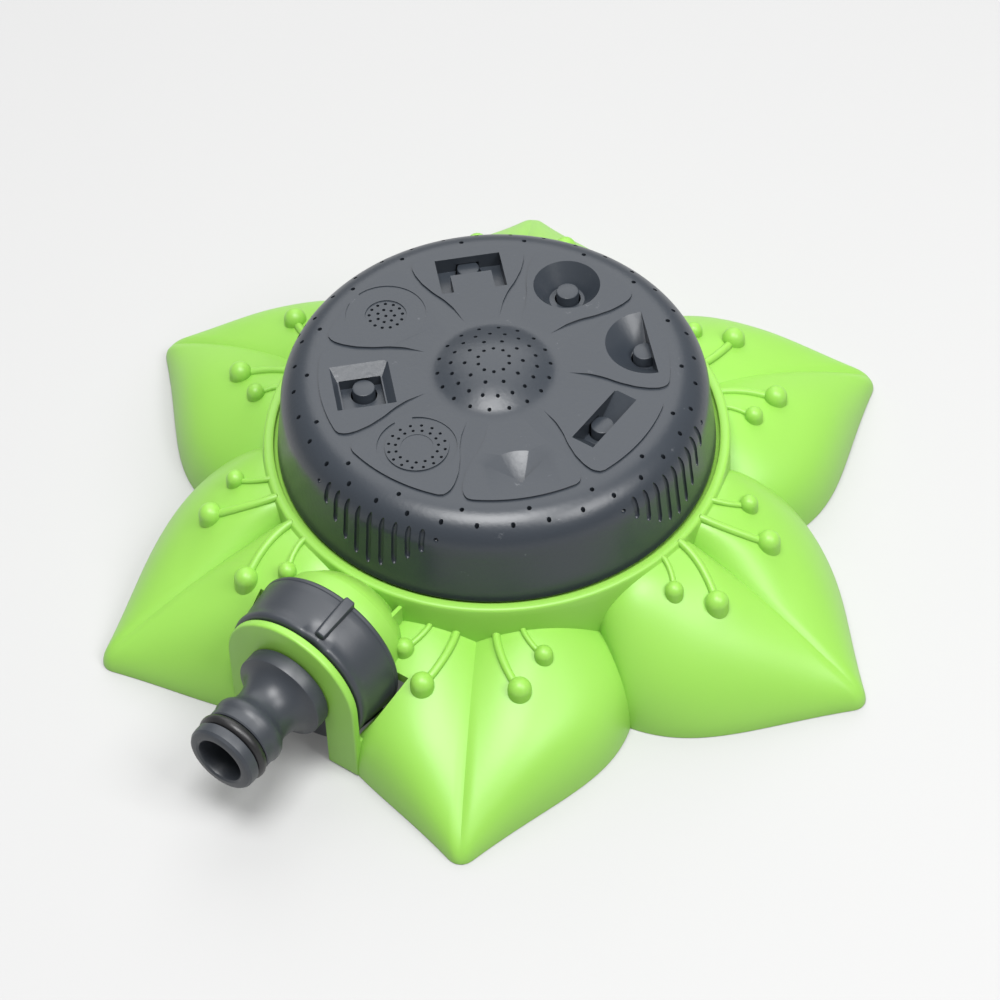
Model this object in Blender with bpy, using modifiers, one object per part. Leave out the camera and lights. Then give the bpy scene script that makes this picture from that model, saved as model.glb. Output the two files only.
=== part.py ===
"""Flower-shaped lawn sprinkler with a turning pattern dial and a click-on hose inlet.

Units are metres, +Z is up and the flower rests on z = 0.  The dial turns about a vertical
axis; the inlet runs along -Y.  The assembly empty carries the dial axis, and its place along
Y puts the frame's origin at the middle of the whole footprint.
"""
import math

import bmesh
import bpy
from mathutils import Matrix, Vector

# ---------------------------------------------------------------- driving dimensions
TIP_RADIUS = 0.096            # dial axis to petal tip
PETALS = 6
FACETS_PER_HALF_PETAL = 6
WALL = 0.0023                 # moulded wall of the flower shell
GAP = 0.0003                  # space left between parts that touch

COLLAR_BORE = 0.0492          # cup that the dial sits in
COLLAR_OUTER = 0.0516
RIM_Z = 0.0297                # top of the collar
FLOOR_TOP = 0.0280            # floor of the cup
FLOOR_BOTTOM = 0.0260
VALLEY_RADIUS = 0.0665         # dial axis to the notch between two petals

DIAL_TOP_Z = 0.0493
DOME_TOP_Z = 0.0525
DOME_RADIUS = 0.0134
DIAL_SKIRT_RADIUS = 0.0485
DIAL_SKIRT_Z = 0.0286
DIAL_WALL = 0.0020
PLATE_Z = 0.0299              # underside of the nozzle plate inside the dial
PLATE_TOP_Z = 0.0319
PLATE_RADIUS = 0.0455
CHAMBERS = 8
PORT_RADIUS = 0.0200          # circle of water ports under the dial
PIN_RADIUS = 0.0027
PIN_HOLE_RADIUS = 0.0034
PIN_TOP_Z = 0.0475
POCKET_FLOOR_Z = 0.0440
BLOCK_Z = 0.0423              # underside of the thickened top around each pocket
BLOCK_RADIUS = 0.0106

INLET_Z = 0.0196              # height of the inlet axis
NOSE_END = 0.1009             # distances out from the dial axis along the inlet
FLANGE_BACK = 0.0768
PLATE_FRONT = 0.0765
PLATE_BACK = 0.0748
NUT_FRONT = 0.0742
NUT_BACK = 0.0619
BOSS_FRONT = 0.0613           # round boss behind the nut, and the cone that joins it to the collar
BOSS_BACK = 0.0566
BOSS_RADIUS = 0.0152
CONE_RADIUS = 0.0142
CONE_ROOT_RADIUS = 0.0099
SPIGOT_START = 0.0575
SPIGOT_END = 0.0640
NUT_BACK_RADIUS = 0.0180      # the nut and its ribs narrow towards the front
NUT_FRONT_RADIUS = 0.0167
RIB_BACK_RADIUS = 0.0193
RIB_FRONT_RADIUS = 0.0176
ROOM_RADIUS = 0.0197
FRONT_ARCH_RADIUS = 0.0165
SPIGOT_RADIUS = 0.0128
PIPE_RADIUS = 0.0060
PIPE_BORE = 0.0043
TOWER_Y = -0.0200             # water tower under the port that is in use
DETENT_Y = 0.0360
LUG_X = 0.0140

MERGE = 0.00001
ROUND = 40                    # facets of a large turned part
SMALL_ROUND = 20

# The frame's origin is the middle of the footprint: from the nose end to the petal tips.
PETAL_REACH_Y = TIP_RADIUS * math.sin(math.pi / 3)
FRAME_Y = (NOSE_END - PETAL_REACH_Y) / 2

# Three upper petals take turns with three lower ones that are tucked between them.  Each line
# along a petal is (height at the collar, droop, power of the droop, sharpness of the edge).
VALLEY_LINE = (0.0166, 0.571, 1.97, 12.0)
UPPER_PETAL = {
    "crease": (0.0244, 0.87, 1.35, 40.0),
    "crown": (0.0284, 0.725, 1.45, 9.2),
    "crown_at": 0.45,                      # share of the way from the crease to the valley
    "side": (2.2, 0.5),                    # shape of the drop from the crown to the valley
    "pull_tip": (-0.0167, 0.0161),         # how the outline leaves the tip and meets the valley
    "pull_valley": (0.0168, -0.0029),
}
LOWER_PETAL = {
    "crease": (0.0195, 0.86, 1.70, 40.0),
    "crown": (0.0230, 0.509, 1.37, 9.4),
    "crown_at": 0.42,
    "side": (2.0, 1.0),
    "pull_tip": (-0.0190, 0.0170),
    "pull_valley": (0.0158, -0.0035),
}

# Pattern pockets: name, angle on the dial, and where each jet pin stands in its sector
# (distance out along the sector, distance across it).
PIN_POCKETS = {
    "slot": (0, 0.0277, 0.0010),
    "half_cone": (45, 0.0332, 0.0008),
    "cone": (90, 0.0302, 0.0014),
    "flat": (135, 0.0341, 0.0000),
    "pyramid": (225, 0.0284, -0.0015),
}
FAN_ANGLE = 315


# ---------------------------------------------------------------- scene and materials
def clear_scene():
    for old in list(bpy.data.objects):
        bpy.data.objects.remove(old, do_unlink=True)


def new_collection(name):
    collection = bpy.data.collections.new(name)
    bpy.context.scene.collection.children.link(collection)
    return collection


def plastic(name, colour, roughness, metallic=0.0):
    material = bpy.data.materials.new(name)
    material.use_nodes = True
    shader = material.node_tree.nodes["Principled BSDF"]
    shader.inputs["Base Color"].default_value = (*colour, 1.0)
    shader.inputs["Roughness"].default_value = roughness
    shader.inputs["Metallic"].default_value = metallic
    material.diffuse_color = (*colour, 1.0)
    return material


clear_scene()
PARTS = new_collection("flower_sprinkler")
CUTTERS = new_collection("cutters")

LIME = plastic("lime_plastic", (0.33, 0.72, 0.09), 0.32)
SLATE = plastic("slate_plastic", (0.085, 0.095, 0.110), 0.42)
INNER = plastic("inner_plastic", (0.060, 0.065, 0.075), 0.50)
RUBBER = plastic("black_rubber", (0.015, 0.015, 0.016), 0.60)
STEEL = plastic("stainless_steel", (0.62, 0.62, 0.64), 0.25, 1.0)


def empty(name, location, parent=None):
    holder = bpy.data.objects.new(name, None)
    PARTS.objects.link(holder)
    holder.location = location
    holder.parent = parent
    return holder


ASSEMBLY = empty("assembly", (0.0, FRAME_Y, 0.0))
DIAL_AXIS = empty("dial_axis", (0.0, 0.0, 0.0), ASSEMBLY)
INLET_AXIS = empty("inlet_axis", (0.0, 0.0, INLET_Z), ASSEMBLY)
INLET_AXIS.rotation_euler = (math.pi / 2, 0.0, 0.0)     # local +Z runs out along -Y


def place(mesh, name, material, parent, location=(0.0, 0.0, 0.0), smooth_angle=35):
    """Link a mesh as a part, or as a cutter where it has no material."""
    item = bpy.data.objects.new(name, mesh)
    item.parent = parent
    item.location = location
    if material is None:
        CUTTERS.objects.link(item)
        item.hide_render = True
        item.display_type = "WIRE"
        return item
    PARTS.objects.link(item)
    mesh.materials.append(material)
    mesh.shade_smooth()
    mesh.set_sharp_from_angle(angle=math.radians(smooth_angle))
    return item


# ---------------------------------------------------------------- shape helpers
def turned(name, profile, material, parent, location=(0.0, 0.0, 0.0), facets=ROUND, ring=False):
    """A turned piece: (radius, height) points down the outside, closed up the bore if a ring."""
    mesh = bpy.data.meshes.new(name)
    points = [(radius, 0.0, height) for radius, height in profile]
    edges = [(i, i + 1) for i in range(len(points) - 1)]
    if ring:
        edges.append((len(points) - 1, 0))
    mesh.from_pydata(points, edges, [])
    item = place(mesh, name, material, parent, location)
    screw = item.modifiers.new("turn", "SCREW")
    screw.steps = facets
    screw.render_steps = facets
    screw.use_merge_vertices = True
    screw.merge_threshold = MERGE
    return item


def rounded_profile(radius, low, high, inner=0.0, chamfer=0.0):
    """Outline of a plain disc or tube, top to bottom, with an optional edge chamfer."""
    outline = [(inner, high)] if inner == 0.0 else []
    outline += [(radius - chamfer, high), (radius, high - chamfer)] if chamfer else [(radius, high)]
    outline += [(radius, low + chamfer), (radius - chamfer, low)] if chamfer else [(radius, low)]
    outline += [(inner, low), (inner, high)] if inner > 0.0 else [(0.0, low)]
    return outline


def tube(name, radius, inner, low, high, material, parent, facets=ROUND, chamfer=0.0,
         location=(0.0, 0.0, 0.0)):
    profile = rounded_profile(radius, low, high, inner, chamfer)
    return turned(name, profile, material, parent, location, facets, ring=True)


def rod(name, radius, low, high, material, parent, facets=SMALL_ROUND, chamfer=0.0,
        location=(0.0, 0.0, 0.0)):
    profile = rounded_profile(radius, low, high, 0.0, chamfer)
    return turned(name, profile, material, parent, location, facets)


def box(name, low, high, material, parent, rotation=0.0):
    """An upright box between two corners, turned about the parent's Z axis."""
    mesh = bpy.data.meshes.new(name)
    shape = bmesh.new()
    size = Vector(high) - Vector(low)
    middle = (Vector(high) + Vector(low)) / 2
    bmesh.ops.create_cube(shape, size=1.0)
    bmesh.ops.scale(shape, vec=size, verts=shape.verts)
    bmesh.ops.translate(shape, vec=middle, verts=shape.verts)
    bmesh.ops.rotate(shape, cent=(0, 0, 0), matrix=Matrix.Rotation(rotation, 3, "Z"), verts=shape.verts)
    shape.to_mesh(mesh)
    shape.free()
    return place(mesh, name, material, parent)


def extruded(name, outline, low, high, material, parent, rotation=0.0):
    """A flat outline drawn in the parent's XY plane, pulled up from low to high."""
    mesh = bpy.data.meshes.new(name)
    shape = bmesh.new()
    corners = [shape.verts.new((x, y, low)) for x, y in outline]
    bottom = shape.faces.new(corners)
    raised = bmesh.ops.extrude_face_region(shape, geom=[bottom])
    top = [part for part in raised["geom"] if isinstance(part, bmesh.types.BMVert)]
    bmesh.ops.translate(shape, vec=(0, 0, high - low), verts=top)
    bmesh.ops.rotate(shape, cent=(0, 0, 0), matrix=Matrix.Rotation(rotation, 3, "Z"), verts=shape.verts)
    bmesh.ops.recalc_face_normals(shape, faces=shape.faces)
    shape.to_mesh(mesh)
    shape.free()
    return place(mesh, name, material, parent)


def boolean(item, operation, other):
    step = item.modifiers.new(other.name, "BOOLEAN")
    step.operation = operation
    step.solver = "EXACT"
    step.object = other
    return item


def cut(item, *cutters):
    for cutter in cutters:
        boolean(item, "DIFFERENCE", cutter)


def add(item, *pieces):
    for piece in pieces:
        boolean(item, "UNION", piece)


def polar(radius, degrees, height=0.0):
    angle = math.radians(degrees)
    return (radius * math.cos(angle), radius * math.sin(angle), height)


def sector_point(angle, out, across, height=0.0):
    """A point on the dial from its place in the sector at this angle."""
    turn = math.radians(angle)
    x = out * math.cos(turn) - across * math.sin(turn)
    y = out * math.sin(turn) + across * math.cos(turn)
    return (x, y, height)


def arch_outline(radius, foot, facets=14):
    """Round-topped arch about the inlet axis, standing on the ground."""
    arc = [math.pi * i / facets for i in range(facets + 1)]
    top = [(radius * math.cos(a), radius * math.sin(a)) for a in arc]
    return [(radius, -foot)] + top + [(-radius, -foot)]


def pit_outline(radius, half_width, foot, facets=22):
    """Circle about the inlet axis whose lower part opens straight down to the ground."""
    dip = math.acos(half_width / radius)
    sweep = math.pi + 2 * dip
    arc = [-dip + sweep * i / facets for i in range(facets + 1)]
    round_part = [(radius * math.cos(a), radius * math.sin(a)) for a in arc]
    return [(half_width, -foot)] + round_part + [(-half_width, -foot)]


def wedge(name, ends, half_width, material, parent, rotation=0.0):
    """A rib standing on X: each end is (height along Z, inner radius, outer radius)."""
    mesh = bpy.data.meshes.new(name)
    shape = bmesh.new()
    for height, inner, outer in ends:
        for x in (inner, outer):
            for y in (-half_width, half_width):
                shape.verts.new((x, y, height))
    bmesh.ops.convex_hull(shape, input=shape.verts)
    bmesh.ops.rotate(shape, cent=(0, 0, 0), matrix=Matrix.Rotation(rotation, 3, "Z"), verts=shape.verts)
    bmesh.ops.recalc_face_normals(shape, faces=shape.faces)
    shape.to_mesh(mesh)
    shape.free()
    return place(mesh, name, material, parent)


# ---------------------------------------------------------------- flower base
def petal_edge(petal, t):
    """Ogee outline of half a petal on the ground, from the tip (t = 0) to the valley (t = 1)."""
    half_step = math.pi / PETALS
    tip = Vector((TIP_RADIUS, 0.0))
    valley = VALLEY_RADIUS * Vector((math.cos(half_step), math.sin(half_step)))
    near_tip = tip + Vector(petal["pull_tip"])
    near_valley = valley + Vector(petal["pull_valley"])
    u = 1.0 - t
    return u ** 3 * tip + 3 * u * u * t * near_tip + 3 * u * t * t * near_valley + t ** 3 * valley


def line_height(line, s):
    """Height left along a line from the collar (s = 0) to the outline (s = 1)."""
    root, droop, power, edge = line
    return root * (1.0 - droop * s ** power) * math.sqrt(max(0.0, 1.0 - s ** edge))


def petal_height(petal, s, g):
    """Top surface from the crease (g = 0) over the crown of the lobe to the valley (g = 1)."""
    crease = line_height(petal["crease"], s)
    crown = line_height(petal["crown"], s)
    valley = line_height(VALLEY_LINE, s)
    crown_at = petal["crown_at"]
    if g < crown_at:
        return crease + (crown - crease) * (1.0 - (1.0 - g / crown_at) ** 2)
    shape, power = petal["side"]
    past_crown = min(1.0, (g - crown_at) / (1.0 - crown_at))
    return valley + (crown - valley) * (1.0 - past_crown ** shape) ** power


def shell_section(petal, edge_radius, g):
    """Radius and height of the whole wall at one angle, from the cup floor out and back under."""
    rows = (0.0, 0.2, 0.42, 0.62, 0.8, 0.92, 0.985)
    section = [(0.0042, FLOOR_TOP), (COLLAR_BORE, FLOOR_TOP), (COLLAR_BORE, RIM_Z - 0.0006)]
    section += [(COLLAR_BORE + 0.0008, RIM_Z), (COLLAR_OUTER - 0.0005, RIM_Z - 0.0002)]
    section += [(COLLAR_OUTER, RIM_Z - 0.0010)]
    root = COLLAR_OUTER + 0.0002
    section += [(root + (edge_radius - root) * s, petal_height(petal, s, g)) for s in rows]
    section += [(edge_radius, 0.0), (edge_radius - WALL, 0.0)]
    inner_edge = edge_radius - WALL
    for s in reversed(rows[:-1]):
        top = petal_height(petal, s, g)
        section.append((root + (inner_edge - root) * s, top * top / (top + WALL)))
    inside = COLLAR_BORE - 0.0002
    section += [(inside, section[-1][1] - 0.0003), (inside, FLOOR_BOTTOM), (0.0042, FLOOR_BOTTOM)]
    return section


def flower_shell():
    """The petals, collar and cup floor as one wall carried round the dial axis."""
    columns = []
    for number in range(PETALS):
        petal = UPPER_PETAL if number % 2 == 0 else LOWER_PETAL
        axis = 2 * math.pi * number / PETALS
        for side in (-1, 1):
            for k in range(FACETS_PER_HALF_PETAL):
                share = (FACETS_PER_HALF_PETAL - k if side < 0 else k) / FACETS_PER_HALF_PETAL
                edge = petal_edge(petal, share)
                lean = math.atan2(edge.y, edge.x)
                section = shell_section(petal, edge.length, lean * PETALS / math.pi)
                columns.append((axis + side * lean, section))
    mesh = bpy.data.meshes.new("flower_base")
    shape = bmesh.new()
    grid = []
    for angle, section in columns:
        grid.append([shape.verts.new((r * math.cos(angle), r * math.sin(angle), z)) for r, z in section])
    for i, column in enumerate(grid):
        following = grid[(i + 1) % len(grid)]
        for j in range(len(column)):
            k = (j + 1) % len(column)
            shape.faces.new((column[j], following[j], following[k], column[k]))
    bmesh.ops.recalc_face_normals(shape, faces=shape.faces)
    shape.to_mesh(mesh)
    shape.free()
    return place(mesh, "flower_base", LIME, ASSEMBLY, smooth_angle=30)


def build_base():
    base = flower_shell()
    foot = INLET_Z
    nut_room = extruded("nut_room", pit_outline(ROOM_RADIUS, 0.0140, foot + 0.001), BOSS_FRONT - 0.0004,
                        PLATE_BACK, None, INLET_AXIS)
    boss = rod("boss", BOSS_RADIUS, BOSS_BACK, BOSS_FRONT, None, INLET_AXIS, 36, 0.0006)
    cone = [(0.0, BOSS_BACK + 0.001), (CONE_RADIUS, BOSS_BACK + 0.001), (CONE_RADIUS, BOSS_BACK),
            (CONE_ROOT_RADIUS, 0.0497), (0.0, 0.0497)]
    boss_cone = turned("boss_cone", cone, None, INLET_AXIS, facets=32)
    front = extruded("front_arch", arch_outline(FRONT_ARCH_RADIUS, foot), PLATE_BACK - GAP, PLATE_FRONT,
                     None, INLET_AXIS)
    cheeks = box("cheeks", (-0.0215, -PLATE_FRONT + 0.0003, 0.0), (0.0215, -PLATE_BACK - 0.0003, 0.0085),
                 None, ASSEMBLY)
    cut(base, nut_room)
    add(base, boss, boss_cone, front, cheeks)
    keyhole = extruded("keyhole", arch_outline(0.0089, foot + 0.001, 10), PLATE_BACK - 0.001,
                       PLATE_FRONT + 0.001, None, INLET_AXIS)
    spigot_room = rod("spigot_room", SPIGOT_RADIUS + GAP, SPIGOT_START - GAP, BOSS_FRONT + 0.001, None,
                      INLET_AXIS, 28)
    pipe_room = rod("pipe_room", PIPE_RADIUS + GAP, 0.0460, SPIGOT_START + 0.0005, None, INLET_AXIS)
    cut(base, keyhole, spigot_room, pipe_room)
    detent_boss = rod("detent_boss", 0.0042, 0.0160, FLOOR_BOTTOM + 0.0005, None, ASSEMBLY, 15,
                      location=(0.0, DETENT_Y, 0.0))
    detent_bore = rod("detent_bore", 0.0026, 0.0180, FLOOR_TOP + 0.001, None, ASSEMBLY, 13,
                      location=(0.0, DETENT_Y, 0.0))
    seal_hole = rod("seal_hole", 0.0064, FLOOR_BOTTOM - 0.001, FLOOR_TOP + 0.001, None, ASSEMBLY, 16,
                    location=(0.0, TOWER_Y, 0.0))
    add(base, detent_boss)
    cut(base, detent_bore, seal_hole)
    for side in (-1, 1):
        pilot = rod(f"pilot_{side}", 0.0015, FLOOR_BOTTOM - 0.001, FLOOR_TOP - 0.0003, None, ASSEMBLY, 10,
                    location=(side * LUG_X, TOWER_Y, 0.0))
        cut(base, pilot)
    return base


# ---------------------------------------------------------------- water path
def build_water_tube():
    """Threaded spigot, pipe under the cup floor and the upright tower at its end."""
    profile = rounded_profile(SPIGOT_RADIUS, SPIGOT_START, SPIGOT_END, 0.0, 0.0004)
    body = turned("water_tube", profile, INNER, INLET_AXIS, facets=28)
    pipe = rod("pipe_solid", PIPE_RADIUS, -TOWER_Y, SPIGOT_START + 0.0004, None, INLET_AXIS)
    tower = rod("tower_solid", 0.0082, 0.0120, FLOOR_BOTTOM - GAP, None, ASSEMBLY, 24,
                location=(0.0, TOWER_Y, 0.0))
    lugs = box("lugs", (-LUG_X - 0.0035, TOWER_Y - 0.0035, 0.0236),
               (LUG_X + 0.0035, TOWER_Y + 0.0035, FLOOR_BOTTOM - GAP), None, ASSEMBLY)
    add(body, pipe, tower, lugs)
    bore = rod("tube_bore", PIPE_BORE, 0.0170, 0.0600, None, INLET_AXIS)
    mouth = rod("spigot_mouth", 0.0085, SPIGOT_START + 0.0010, SPIGOT_END + 0.001, None, INLET_AXIS)
    socket = rod("seal_socket", 0.0062, 0.0140, FLOOR_BOTTOM + 0.001, None, ASSEMBLY, 17,
                 location=(0.0, TOWER_Y, 0.0))
    cut(body, bore, mouth, socket)
    for side in (-1, 1):
        hole = rod(f"lug_hole_{side}", 0.0015, 0.0220, FLOOR_BOTTOM + 0.001, None, ASSEMBLY, 10,
                   location=(side * LUG_X, TOWER_Y, 0.0))
        cut(body, hole)
    return body


def build_tube_screws():
    profile = [(0.0, 0.0275), (0.0008, 0.0275), (0.0012, 0.0268), (0.0012, 0.0233), (0.0028, 0.0233),
               (0.0028, 0.0222), (0.0020, 0.0215), (0.0, 0.0215)]
    for number, side in enumerate((-1, 1), start=1):
        turned(f"tube_screw_{number}", profile, STEEL, ASSEMBLY, (side * LUG_X, TOWER_Y, 0.0), 14)


def coil(name, radius, wire, low, high, turns, location, parent):
    """A compression spring as a polyline tube with closed ends."""
    steps = 10
    count = turns * steps + 1
    curve = bpy.data.curves.new(name, "CURVE")
    curve.dimensions = "3D"
    curve.bevel_depth = wire
    curve.bevel_resolution = 1
    curve.use_fill_caps = True
    spline = curve.splines.new("POLY")
    spline.points.add(count - 1)
    rise = (high - low - 2 * wire) / (count - 1)
    for i, point in enumerate(spline.points):
        angle = 2 * math.pi * i / steps
        height = low + wire + rise * i
        point.co = (radius * math.cos(angle), radius * math.sin(angle), height, 1.0)
    item = bpy.data.objects.new(name, curve)
    PARTS.objects.link(item)
    item.parent = parent
    item.location = location
    curve.materials.append(STEEL)
    return item


def build_seals_and_springs():
    tube("port_seal", 0.0058, 0.0030, 0.0256, PLATE_Z - GAP, RUBBER, ASSEMBLY, 20, 0.0004,
         (0.0, TOWER_Y, 0.0))
    tube("seal_washer", 0.0058, 0.0032, 0.0246, 0.0253, STEEL, ASSEMBLY, 20, 0.0, (0.0, TOWER_Y, 0.0))
    coil("seal_spring", 0.0050, 0.0004, 0.0146, 0.0243, 4, (0.0, TOWER_Y, 0.0), ASSEMBLY)
    tube("hub_seal", 0.0062, 0.0042, FLOOR_TOP + GAP, PLATE_Z - GAP, RUBBER, ASSEMBLY, 20, 0.0003)
    detent = empty("detent_axis", (0.0, DETENT_Y, 0.0), ASSEMBLY)
    plunger = [(0.0, 0.0296), (0.0008, 0.0293), (0.0016, 0.0286), (0.0022, 0.0276), (0.0022, 0.0242),
               (0.0012, 0.0242), (0.0012, 0.0222), (0.0, 0.0222)]
    turned("detent_plunger", plunger, STEEL, detent, facets=16)
    coil("detent_spring", 0.0019, 0.00025, 0.0183, 0.0239, 4, (0.0, 0.0, 0.0), detent)
    tube("hose_washer", 0.0122, 0.0080, SPIGOT_END + GAP, SPIGOT_END + 0.0022, RUBBER, INLET_AXIS, 28)


def build_inlet_filter():
    """Domed strainer that sits in the mouth of the spigot, pierced by a ring of holes."""
    outer = [(0.0, 0.0588), (0.0040, 0.0592), (0.0066, 0.0604), (0.0076, 0.0628), (0.0076, 0.0642)]
    inner = [(0.0068, 0.0642), (0.0068, 0.0630), (0.0060, 0.0612), (0.0036, 0.0600), (0.0, 0.0597)]
    body = turned("inlet_filter", (outer + inner)[::-1], STEEL, INLET_AXIS, facets=SMALL_ROUND)
    for i in range(6):
        hole = rod(f"strainer_hole_{i}", 0.0008, 0.0560, 0.0660, None, INLET_AXIS, 6,
                   location=polar(0.0042, 60 * i))
        cut(body, hole)
    return body


def build_nut():
    """Loose coupling nut: drawn over the adapter's collar, with three grip ribs."""
    profile = [(0.0096, NUT_FRONT), (NUT_FRONT_RADIUS - 0.0008, NUT_FRONT),
               (NUT_FRONT_RADIUS, NUT_FRONT - 0.0008), (NUT_BACK_RADIUS, NUT_BACK + 0.0006),
               (NUT_BACK_RADIUS - 0.0006, NUT_BACK), (0.0133, NUT_BACK), (0.0133, NUT_FRONT - 0.0022),
               (0.0096, NUT_FRONT - 0.0022)]
    nut = turned("coupling_nut", profile, SLATE, INLET_AXIS, facets=36, ring=True)
    ends = [(NUT_BACK + 0.0001, 0.0160, RIB_BACK_RADIUS), (NUT_FRONT - 0.0016, 0.0150, RIB_FRONT_RADIUS)]
    for i in range(3):
        rib = wedge(f"nut_rib_{i}", ends, 0.0016, None, INLET_AXIS, math.radians(70 + 120 * i))
        add(nut, rib)
    return nut


def build_adapter():
    """Click nose with its retaining shoulder, front flange, waist, ridge and O-ring groove."""
    outer = [(0.0053, NOSE_END - 0.0004), (0.0058, NOSE_END), (0.0069, NOSE_END),
             (0.0077, NOSE_END - 0.0007), (0.0080, NOSE_END - 0.0017), (0.0080, 0.0977), (0.0062, 0.0977),
             (0.0062, 0.0947), (0.0079, 0.0947), (0.0079, 0.0925), (0.0082, 0.0912), (0.0082, 0.0900),
             (0.0076, 0.0888), (0.0067, 0.0876), (0.0066, 0.0862), (0.0072, 0.0842), (0.0086, 0.0824),
             (0.0099, 0.0812), (0.0103, 0.0800), (0.0103, FLANGE_BACK), (0.0084, FLANGE_BACK),
             (0.0084, 0.0712), (0.0125, 0.0712), (0.0125, 0.0666)]
    bore = [(0.0082, 0.0666), (0.0060, 0.0700), (0.0053, 0.0740)]
    return turned("tap_adapter", outer + bore, SLATE, INLET_AXIS, facets=32, ring=True)


def build_o_ring():
    ring_radius, wire = 0.00735, 0.00075
    points = []
    for i in range(8):
        angle = -2 * math.pi * i / 8 + math.pi / 2
        points.append((ring_radius + wire * math.cos(angle), 0.0962 + 1.6 * wire * math.sin(angle)))
    return turned("adapter_o_ring", points, RUBBER, INLET_AXIS, facets=28, ring=True)


# ---------------------------------------------------------------- dial
def dial_profile():
    """Shell of the dial cover: dome, flat top, rounded shoulder and tapered skirt, then back inside."""
    outer = [(0.0, DOME_TOP_Z), (0.0035, DOME_TOP_Z), (0.0063, DOME_TOP_Z - 0.0005),
             (0.0094, DOME_TOP_Z - 0.0014), (0.0118, DOME_TOP_Z - 0.0026), (DOME_RADIUS, DIAL_TOP_Z),
             (0.0400, DIAL_TOP_Z - 0.0001), (0.0436, 0.0484), (0.0456, 0.0467), (0.0466, 0.0442),
             (0.0470, 0.0410), (DIAL_SKIRT_RADIUS, DIAL_SKIRT_Z)]
    inner = [(DIAL_SKIRT_RADIUS - DIAL_WALL, DIAL_SKIRT_Z), (0.0450, 0.0410), (0.0444, 0.0445),
             (0.0428, 0.0464), (0.0398, 0.0472), (0.0130, 0.0473), (0.0105, 0.0484), (0.0060, 0.0502),
             (0.0, 0.0505)]
    return outer + inner


def pocket_block(name, angle, out, across):
    return rod(f"block_{name}", BLOCK_RADIUS, BLOCK_Z, DIAL_TOP_Z - 0.0008, None, DIAL_AXIS, 16,
               location=sector_point(angle, out, across))


def sector_box(name, angle, out, across, low, high):
    """Box between two (out, across) limits in one sector."""
    near, far = (out[0], across[0], low), (out[1], across[1], high)
    return box(name, near, far, None, DIAL_AXIS, math.radians(angle))


def build_dial_cover():
    cover = turned("dial_cover", dial_profile(), SLATE, DIAL_AXIS, facets=48)
    above = DIAL_TOP_Z + 0.0015
    for name, (angle, _, across) in PIN_POCKETS.items():
        add(cover, pocket_block(name, angle, 0.0295, across))
    add(cover, pocket_block("fan", FAN_ANGLE, 0.0290, 0.0))

    slot = sector_box("slot_pocket", 0, (0.0254, 0.0308), (-0.0074, 0.0094), POCKET_FLOOR_Z, above)
    flat = sector_box("flat_pocket", 135, (0.0247, 0.0352), (-0.0072, 0.0072), POCKET_FLOOR_Z + 0.001,
                      above)
    square = sector_box("pyramid_pocket", 225, (0.0222, 0.0350), (-0.0075, 0.0057),
                        POCKET_FLOOR_Z + 0.001, above)
    cut(cover, slot, flat, square)

    flare = [(0.0, above), (0.0092, above), (0.0034, POCKET_FLOOR_Z), (0.0, POCKET_FLOOR_Z)]
    cone = turned("cone_pocket", flare, None, DIAL_AXIS, sector_point(90, 0.0300, 0.0014), 24)
    half_flare = [(0.0, above), (0.0115, above), (0.0036, POCKET_FLOOR_Z), (0.0, POCKET_FLOOR_Z)]
    half_place = sector_point(45, 0.0336, 0.0010)
    half_cone = turned("half_cone_pocket", half_flare, None, DIAL_AXIS, half_place, 24)
    keep = sector_box("half_cone_wall", 45, (0.0100, 0.0348), (-0.0150, 0.0150), 0.0400, 0.0600)
    boolean(half_cone, "INTERSECT", keep)
    cut(cover, cone, half_cone)

    half_angle = math.radians(44)
    arc = [half_angle * (i / 4 - 1) for i in range(9)]
    fan_outline = [(0.0336, 0.0)] + [(0.0336 - 0.0108 * math.cos(a), -0.0108 * math.sin(a)) for a in arc]
    fan = extruded("fan_pocket", fan_outline, DIAL_TOP_Z - 0.0034, above, None, DIAL_AXIS,
                   math.radians(FAN_ANGLE))
    cut(cover, fan)

    for name, (angle, out, across) in PIN_POCKETS.items():
        radius = 0.0033 if name == "slot" else PIN_HOLE_RADIUS
        hole = rod(f"pin_hole_{name}", radius, BLOCK_Z - 0.001, PIN_TOP_Z + GAP, None, DIAL_AXIS, 15,
                   location=sector_point(angle, out, across))
        cut(cover, hole)
    return cover


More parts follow.
